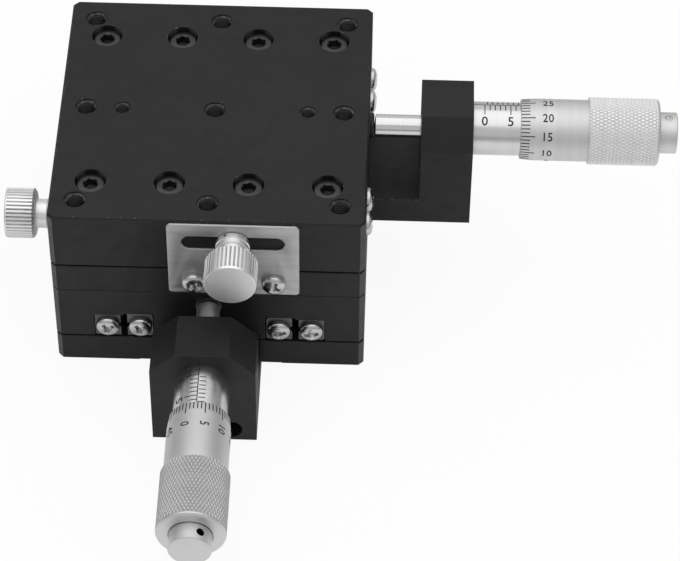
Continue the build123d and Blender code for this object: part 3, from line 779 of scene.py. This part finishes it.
def thumb_screw(name):
    """The lock's thumb screw: collar, neck and ribbed knob."""
    front = -HALF - LOCK_PLATE_T - LOCK_GAP[name]
    place = PLACE[name] @ Matrix.Translation((LOCK_X, front, LOCK_Z)) @ FRONT
    whole = bmesh.new()
    skin(whole, knob_rings(), Matrix.Identity(4))
    shape = carved(f"{name}_knob", whole, collar_hole())
    shape.transform(place)
    bm = bmesh.new()
    bm.from_mesh(shape)
    node = f"{name}_lock_screw"
    nickel = turned_nickel(node, place.translation * MM, {"x": "Y", "y": "X"}[name])
    # The collar hole's walls take the nickel darkened with painted shade.
    finishes = (nickel, PAINTED_SHADE_NICKEL)
    piece(f"{name}_thumb_screw", bm, f"{name}_lock", finishes, [node], sharp=25.0)


def rounded_outline(w, h, corner, steps=6):
    """A rounded rectangle's points round the origin, or a slot's where the corner is half its height."""
    points = []
    for quarter, (sx, sy) in enumerate(((1, 1), (-1, 1), (-1, -1), (1, -1))):
        for step in range(steps + 1):
            angle = (quarter + step / steps) * pi / 2
            x = sx * (w / 2 - corner) + corner * cos(angle)
            y = sy * (h / 2 - corner) + corner * sin(angle)
            points.append((x, y))
    return points


def lock_plate(name):
    """The slotted plate with softly broken edges, filled between its outline and its holes."""
    w, h, low = LOCK_PLATE
    curve = bpy.data.curves.new(f"{name}_lock_plate_outline", "CURVE")
    curve.dimensions = "2D"
    curve.fill_mode = "BOTH"
    curve.extrude = LOCK_PLATE_T / 2 - LOCK_PLATE_EDGE
    curve.bevel_depth = LOCK_PLATE_EDGE
    curve.offset = -LOCK_PLATE_EDGE
    curve.bevel_resolution = 2
    mid = low + h / 2
    outlines = [(LOCK_X, mid, rounded_outline(w, h, LOCK_PLATE_CORNER))]
    outlines.append((LOCK_X, LOCK_Z, rounded_outline(*LOCK_SLOT, LOCK_SLOT[1] / 2, 10)))
    for x in LOCK_SCREW_XS:
        outlines.append((x, LOCK_SCREW_Z, rounded_outline(*LOCK_PLATE_HOLE, 8)))
    for cx, cy, points in outlines:
        spline = curve.splines.new("POLY")
        spline.points.add(len(points) - 1)
        for point, (x, y) in zip(spline.points, points):
            point.co = (cx + x, cy + y, 0, 1)
        spline.use_cyclic_u = True
    shape = mesh_of_curve(curve)
    shape.transform(PLACE[name] @ Matrix.Translation((0, -HALF - LOCK_PLATE_T / 2, 0)) @ FRONT)
    bm = bmesh.new()
    bm.from_mesh(shape)
    bmesh.ops.remove_doubles(bm, verts=bm.verts, dist=0.001)
    node = f"{name}_lock_plate"
    material = brushed_plate(name, ALONG[name])
    piece(f"{node}_sheet", bm, FIXED[name], material, [node])


def round_head(x, angle, r):
    """A point at that angle round the micrometer's axis, from -Y towards +Z."""
    return Vector((x, -r * cos(angle), HEAD_Z + r * sin(angle)))


def diamond_knurl(bm, x0, x1, root, tip, place):
    """Crossed grooves round the micrometer's axis, which leave rows of small flat-topped pyramids."""
    half_turn = pi / KNURL_ROUND
    half_row = (x1 - x0) / (2 * KNURL_ROWS)
    corners = {}

    def spot(i, j, r):
        return place @ round_head(x0 + j * half_row, i * half_turn, r)

    def corner(i, j):
        key = (i % (2 * KNURL_ROUND), j)
        if key not in corners:
            corners[key] = bm.verts.new(spot(*key, root))
        return corners[key]

    for j in range(2 * KNURL_ROWS + 1):
        for i in range(1 - j % 2, 2 * KNURL_ROUND, 2):
            pyramid(bm, corner, i, j, lambda u, v: spot(u, v, tip))


def pyramid(bm, corner, i, j, top):
    """One flat-topped pyramid of the knurl, cut in half at the knurl's ends."""
    size = KNURL_FLAT
    ways = [(-1, 0), (0, 1), (1, 0), (0, -1)]
    ways = [way for way in ways if 0 <= j + way[1] <= 2 * KNURL_ROWS]
    low = [corner(i + u, j + v) for u, v in ways]
    high = [bm.verts.new(top(i + size * u, j + size * v)) for u, v in ways]
    bm.faces.new(high)
    for k in range(len(ways)):
        n = (k + 1) % len(ways)
        bm.faces.new((low[k], low[n], high[n], high[k]))


def thimble(name):
    """The thimble: bevelled edge, barrel, knurled grip with a rounded end, and a groove round the cap."""
    bm = bmesh.new()
    place = PLACE[name]
    root = KNURL_R - KNURL_DEPTH
    grip_end = THIMBLE_END - KNURL_EDGE
    groove_w, groove_depth = CAP_GROOVE
    groove_floor = THIMBLE_END - groove_depth
    step_l, step_h = KNURL_STEP
    stub = THIMBLE_END - CAP_STUB_L
    diamond_knurl(bm, KNURL_X, grip_end, root, KNURL_R, place)
    for face in bm.faces:
        face.material_index = 1
    profile = [
        (KNURL_X, root), (KNURL_X, THIMBLE_R + step_h), (KNURL_X - step_l, THIMBLE_R),
        (THIMBLE_X + BEVEL_L, THIMBLE_R), (THIMBLE_X + THIMBLE_RIM, THIMBLE_EDGE_R),
        (THIMBLE_X, THIMBLE_EDGE_R - THIMBLE_RIM), (THIMBLE_X, THIMBLE_BORE),
        (HUB_X, THIMBLE_BORE), (HUB_X, HUB_R), (stub, HUB_R), (stub, CAP_STUB_R),
        (groove_floor, CAP_STUB_R), (groove_floor, CAP_R + groove_w), (THIMBLE_END, CAP_R + groove_w),
    ]
    profile += [(THIMBLE_END - back, KNURL_R - inwards) for inwards, back in GRIP_ROUNDING]
    profile.append((grip_end, root))
    rings = []
    for x, r in profile:
        rings.append([round_head(x, 2 * i * pi / KNURL_ROUND, r) for i in range(KNURL_ROUND)])
    skin(bm, rings, place)
    bmesh.ops.remove_doubles(bm, verts=bm.verts, dist=0.001)
    node = f"{name}_thimble"
    # The knurl's own copy of the chrome: painted light on the X stage, painted shade on the Y stage.
    knurl = satin_chrome(f"{name}_knurl", ALONG[name], THIMBLE_ROUGH, KNURL_PAINTED_LIGHT_TONE[name])
    finishes = (satin_chrome(node, ALONG[name], THIMBLE_ROUGH), knurl)
    piece(f"{node}_grip", bm, node, finishes, [node], sharp=22.0)


def stroke(bm, x0, x1, y0, y1):
    """A filled rectangle in a flat drawing: X is along the micrometer's axis, Y round it."""
    corners = [bm.verts.new((x, y, 0)) for x, y in ((x0, y0), (x1, y0), (x1, y1), (x0, y1))]
    bm.faces.new(corners)


def number(bm, text, height, x, y):
    """A plain number in a flat drawing, its middle at that point."""
    curve = bpy.data.curves.new("number", "FONT")
    curve.body = text
    curve.resolution_u = 3
    curve.space_character = 1.08
    curve.offset = 0.012
    shape = mesh_of_curve(curve)
    xs = [v.co.x for v in shape.vertices]
    ys = [v.co.y for v in shape.vertices]
    scale = height / (max(ys) - min(ys))
    middle = Vector(((max(xs) + min(xs)) / 2, (max(ys) + min(ys)) / 2, 0))
    sized = Matrix.Diagonal((scale, scale, 1, 1))
    shape.transform(Matrix.Translation((x, y, 0)) @ sized @ Matrix.Translation(-middle))
    bm.from_mesh(shape)
    bpy.data.meshes.remove(shape)


def wrap(bm, radius, place):
    """Cuts a flat drawing into strips, gives it a little thickness and lays it round the axis."""
    ys = [v.co.y for v in bm.verts]
    y = min(ys) + WRAP_STEP
    while y < max(ys):
        everything = [*bm.verts, *bm.edges, *bm.faces]
        bmesh.ops.bisect_plane(bm, geom=everything, dist=1e-5, plane_co=(0, y, 0), plane_no=(0, 1, 0))
        y += WRAP_STEP
    grown = bmesh.ops.extrude_face_region(bm, geom=list(bm.faces), use_keep_orig=True)
    raised = {v for v in grown["geom"] if isinstance(v, bmesh.types.BMVert)}
    for v in bm.verts:
        x, arc = v.co.x, v.co.y
        lift = LINE_T if v in raised else -LINE_SINK
        v.co = place @ round_head(x, arc / SLEEVE_R, radius(x) + lift)


def sleeve_scale(name):
    """The sleeve's long line, with millimetres and numbers below it and half millimetres above it."""
    bm = bmesh.new()
    line = SCALE_ANGLE[name] * SLEEVE_R
    half = LINE_W / 2
    stroke(bm, OUTER_X + 0.05, ZERO_X + SCALE_L + 0.3, line - half, line + half)
    for i in range(SCALE_L + 1):
        x = ZERO_X + i
        length = LONG_TICK if i % 5 == 0 else SHORT_TICK
        stroke(bm, x - half, x + half, line - length, line - half)
        if i < SCALE_L:
            low, high = HALF_TICK
            stroke(bm, x + 0.5 - half, x + 0.5 + half, line + low, line + high)
        if i % 5 == 0:
            number(bm, str(i), SLEEVE_NUMBER_H, x, line - SLEEVE_NUMBER_Y)
    wrap(bm, lambda x: SLEEVE_R, PLACE[name])
    piece(f"{name}_sleeve_scale", bm, FIXED[name], SCALE_PAINT)


def thimble_radius(x):
    """The thimble's outer radius along its bevel and barrel."""
    share = min(1.0, max(0.0, (x - THIMBLE_X) / BEVEL_L))
    return THIMBLE_EDGE_R + share * (THIMBLE_R - THIMBLE_EDGE_R)


def thimble_scale(name):
    """The thimble's fifty divisions round its bevel, with a number at every fifth."""
    bm = bmesh.new()
    half = LINE_W / 2 * DIVISION_W_SHARE
    for i in range(DIVISIONS):
        angle = SCALE_ANGLE[name] + (i - THIMBLE_NUMBER[name]) * 2 * pi / DIVISIONS
        y = angle * SLEEVE_R
        cuts = SHORT_DIVISION if i % 5 else LONG_DIVISION
        for x0, x1 in zip(cuts, cuts[1:]):
            stroke(bm, THIMBLE_X + x0, THIMBLE_X + x1, y - half, y + half)
        if i % 5 == 0:
            number(bm, str(i), THIMBLE_NUMBER_H * SLEEVE_R / THIMBLE_R, THIMBLE_X + THIMBLE_NUMBER_X, y)
    wrap(bm, thimble_radius, PLACE[name])
    piece(f"{name}_thimble_scale", bm, f"{name}_thimble", SCALE_PAINT)


def coil(bm, path, r, sides, place):
    """A round wire along a list of points."""
    rings = []
    for i, point in enumerate(path):
        ahead = path[min(i + 1, len(path) - 1)] - path[max(i - 1, 0)]
        turn = ahead.to_track_quat("Z", "Y").to_matrix()
        rings.append([point + turn @ Vector(spot) for spot in circle(r, 0, sides)])
    rings = [[path[0]], *rings, [path[-1]]]
    skin(bm, rings, place)


def spring_path():
    """The return spring's wire from one eye to the other, along X."""
    mid = Vector((0, 0, RAIL_MID_Z))
    eye = [Vector(point) for point in circle(SPRING_EYE_R, 0, EYE_STEPS, start=pi)]
    half = EYE_STEPS // 2
    path = [mid + Vector((-SPRING_PIN_X, 0, 0)) + point for point in eye[half:] + eye[:half]]
    steps = SPRING_TURNS * COIL_STEPS
    for i in range(steps + 1):
        angle = 2 * pi * i / COIL_STEPS
        x = SPRING_COIL_L * (i / steps - 0.5)
        path.append(mid + Vector((x, SPRING_COIL_R * sin(angle), -SPRING_COIL_R * cos(angle))))
    path += [mid + Vector((SPRING_PIN_X, 0, 0)) + point for point in eye]
    return path


def return_spring(name):
    """The return spring's wire, from its eye on the fixed pin to its eye on the table's pin."""
    bm = bmesh.new()
    coil(bm, spring_path(), SPRING_WIRE_R, 8, PLACE[name])
    node = f"{name}_return_spring"
    made = piece(f"{name}_spring_wire", bm, None, SPRING_WIRE, [node], sharp=60.0)
    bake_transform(made)


def thread_coil(bm, x, y, size, place):
    """The thread's ridge inside a hole, as a three-cornered coil."""
    d, pitch, depth = size
    outer = d / 2 + 0.01
    inner = outer - 0.5 * pitch
    steps = int(depth / pitch) * COIL_STEPS
    rings = []
    for i in range(steps + 1):
        angle = 2 * pi * i / COIL_STEPS
        z = THREAD_TOP - pitch * i / COIL_STEPS
        turn = Vector((cos(angle), sin(angle), 0))
        ring = [(outer, z - 0.03), (inner, z - pitch / 2), (outer, z - pitch + 0.03)]
        rings.append([Vector((x, y, 0)) + turn * r + Vector((0, 0, h)) for r, h in ring])
    loops = skin(bm, rings, place)
    bm.faces.new(loops[0])
    bm.faces.new(loops[-1])


def top_threads():
    """The threads in the holes of the upper table's top face."""
    bm = bmesh.new()
    for x in (-GRID, 0, GRID):
        for y in (-GRID, 0, GRID):
            thread_coil(bm, x, y, M4_THREAD, PLACE["x"])
    for x in (-PIN_HOLE_X, PIN_HOLE_X):
        thread_coil(bm, x, 0, M3_THREAD, PLACE["x"])
    piece("x_table_threads", bm, "top", THREAD_BLACK, sharp=50.0)


def at(name, *steps):
    """A place in a stage, after steps that each move it or turn it."""
    place = PLACE[name]
    for step in steps:
        place = place @ (step if isinstance(step, Matrix) else Matrix.Translation(step))
    return place


def stage_screws(name):
    """Every cap screw and pan-head screw of one stage, each with a turn of its own where it shows."""
    flip = Matrix.Rotation(pi, 4, "X")
    top = [at(name, (x, y, OUTER_SEAT), Matrix.Rotation(0.4 * x + y, 4, "Z"))
           for x in SCREW_XS for y in (SCREW_ROWS["outer"], -SCREW_ROWS["outer"])]
    cap_screws(f"{name}_outer_rail_screws", M3, RAIL_SCREW_L, top, MOVING[name])
    bottom = [at(name, (x, y, INNER_SEAT), flip) for x in SCREW_XS
              for y in (SCREW_ROWS["inner"], -SCREW_ROWS["inner"])]
    cap_screws(f"{name}_inner_rail_screws", M3, RAIL_SCREW_L, bottom, FIXED[name])
    side = [at(name, (BRACKET_SCREW_X, y, FOOT_Z), ALONG_X) for y in (-BRACKET_SCREW_Y, BRACKET_SCREW_Y)]
    cap_screws(f"{name}_bracket_screws", M2_5, BRACKET_SCREW_L, side, FIXED[name])
    back_along_x = Matrix.Rotation(radians(-90), 4, "Y")
    for which, body in (("inner", FIXED[name]), ("outer", MOVING[name])):
        ends = []
        for y in (END_SCREW_YS[which], -END_SCREW_YS[which]):
            ends.append(at(name, (RAIL_END, y, RAIL_MID_Z), ALONG_X))
            ends.append(at(name, (-RAIL_END, y, RAIL_MID_Z), back_along_x))
        pan_screws(f"{name}_{which}_end_screws", ends, body, END_SCREW_TURN)
    low = [at(name, (x, -HALF - LOCK_PLATE_T, LOCK_SCREW_Z), FRONT) for x in LOCK_SCREW_XS]
    pan_screws(f"{name}_lock_plate_screws", low, FIXED[name], PLATE_SCREW_TURN)


def finish_cad_node(name, material):
    """Gives a CAD node one material all over."""
    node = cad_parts[name]
    node.data.materials.clear()
    node.data.materials.append(material)


def dress_stage(name):
    """The finishes of the CAD nodes of one stage that stay in view."""
    for part, wear in (("base_plate", 0.35), ("table", 0.75), ("bracket", 0.45)):
        finish_cad_node(f"{name}_{part}", black_anodised(f"{name}_{part}", wear))
    for rail in ("inner_rail_a", "inner_rail_b", "outer_rail_a", "outer_rail_b"):
        finish_cad_node(f"{name}_{rail}", ground_steel(f"{name}_{rail}", ALONG[name]))
    for row in ("rollers_a", "rollers_b", "spring_base_pin", "spring_table_pin"):
        finish_cad_node(f"{name}_{row}", SPINDLE_STEEL[name])
    for cage in ("cage_a", "cage_b"):
        finish_cad_node(f"{name}_{cage}", BRASS)
    finish_cad_node(f"{name}_grub_screw", BLACK_OXIDE)
    finish_cad_node(f"{name}_sleeve", SLEEVE_CHROME[name])
    finish_cad_node(f"{name}_thimble_cap", cap_chrome(name, ALONG[name]))
    finish_cad_node(f"{name}_spindle", SPINDLE_STEEL[name])


def stage_set():
    """The floor, plain and pale, with a soft shadow; its reflections carry a painted shadow under the
    object and painted shade far away.
    """
    bm = bmesh.new()
    bmesh.ops.create_grid(bm, x_segments=1, y_segments=1, size=FLOOR_SIZE)
    floor = linked("floor", as_mesh("floor", bm))
    floor.location.z = -FLOOR_GAP * MM
    graph = Graph("floor_white", Roughness=0.9)
    away = graph.vector("LENGTH", graph.coordinates("Object"))
    glow = graph.node("ShaderNodeEmission").outputs[0]
    # Painted shadow under the object and painted shade far away, seen only where the floor is reflected.
    mirrored = graph.math("MULTIPLY", graph.span(away, *FLOOR_PAINTED_SHADOW), graph.span(away, *FLOOR_FAR_PAINTED_SHADE))
    share = graph.math("MULTIPLY", graph.seen_directly(mirrored), FLOOR_TONE)
    reflected_painted_shade = graph.math("MULTIPLY", graph.rays("Glossy"), graph.math("SUBTRACT", 1.0, mirrored))
    graph.colour(graph.math("MULTIPLY", graph.math("SUBTRACT", 1.0, reflected_painted_shade), FLOOR_TONE))
    mixed = graph.node("ShaderNodeMixShader", {0: share, 1: graph.shader.outputs[0], 2: glow}).outputs[0]
    graph.feed(graph.tree.nodes["Material Output"].inputs[0], mixed)
    floor.data.materials.append(graph.material)


def world_light():
    """A white surround, softer as a light; reflections find its horizon, front and sides greyer."""
    world = bpy.data.worlds.new("white_surround")
    bpy.context.scene.world = world
    world.use_nodes = True
    graph = Nodes(world.node_tree)
    background = world.node_tree.nodes["Background"]
    background.inputs["Color"].default_value = rgba(1.0)
    way = graph.coordinates("Generated")
    east, _, height = graph.parts(way)
    facing = graph.vector("DOT_PRODUCT", way, FRONT_WAY)
    mirrored = graph.math("MULTIPLY", graph.span(height, *HORIZON), graph.span(facing, *FRONT_PATCH))
    mirrored = graph.math("MULTIPLY", mirrored, graph.span(graph.math("ABSOLUTE", east), *SIDES))
    soft = graph.math("MULTIPLY", graph.math("SUBTRACT", 1.0, graph.rays("Glossy")), SURROUND)
    strength = graph.math("MAXIMUM", soft, graph.seen_directly(mirrored))
    graph.feed(background.inputs["Strength"], strength)


def overhead_lamp():
    """One large soft lamp over the object, which points straight down."""
    lamp = bpy.data.lights.new("overhead", "AREA")
    lamp.shape = "RECTANGLE"
    lamp.size, lamp.size_y = LAMP_SIZE
    lamp.energy = LAMP_POWER
    made = linked("overhead", lamp)
    made.location = LAMP_SPOT
    made.visible_camera = False


def camera():
    """The photograph's viewpoint, from a fit to the holes and corners of the plate."""
    right = Vector(CAMERA_RIGHT).normalized()
    forward = Vector(CAMERA_FORWARD).normalized()
    back = -(forward - forward.project(right)).normalized()
    up = back.cross(right)
    data = bpy.data.cameras.new("photo_camera")
    data.sensor_width = SENSOR_WIDTH
    data.lens = CAMERA_LENS
    data.clip_start = CLIP_START
    made = linked("photo_camera", data)
    turn = Matrix((right, up, back)).transposed().to_4x4()
    made.matrix_world = Matrix.Translation(CAMERA_SPOT) @ turn
    bpy.context.scene.camera = made


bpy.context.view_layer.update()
bpy.context.scene.view_settings.view_transform = "Standard"
BLACK_OXIDE = black_oxide()
BRIGHT_NICKEL = bright_nickel()
PAINTED_SHADE_NICKEL = recess_nickel()
BRASS = brass()
SPRING_WIRE = spring_wire()
SCALE_PAINT = scale_paint()
THREAD_BLACK = thread_black()
SLEEVE_CHROME = {stage: satin_chrome(f"{stage}_sleeve", axis, SLEEVE_ROUGH)
                 for stage, axis in ALONG.items()}
SPINDLE_STEEL = {stage: polished_steel(stage, axis) for stage, axis in ALONG.items()}
PAN_HEAD = pan_head()

for stage_name in ("y", "x"):
    dress_stage(stage_name)
    stage_screws(stage_name)
    lock_plate(stage_name)
    thumb_screw(stage_name)
    thimble(stage_name)
    sleeve_scale(stage_name)
    thimble_scale(stage_name)
    return_spring(stage_name)
BASE_SCREWS = [at("x", (x, y, BASE_SCREW_SEAT)) for x in (-GRID, GRID) for y in (-GRID, GRID)]
cap_screws("x_base_plate_screws", M4, BASE_SCREW_L, BASE_SCREWS, "middle")
top_threads()
stage_set()
world_light()
overhead_lamp()
camera()
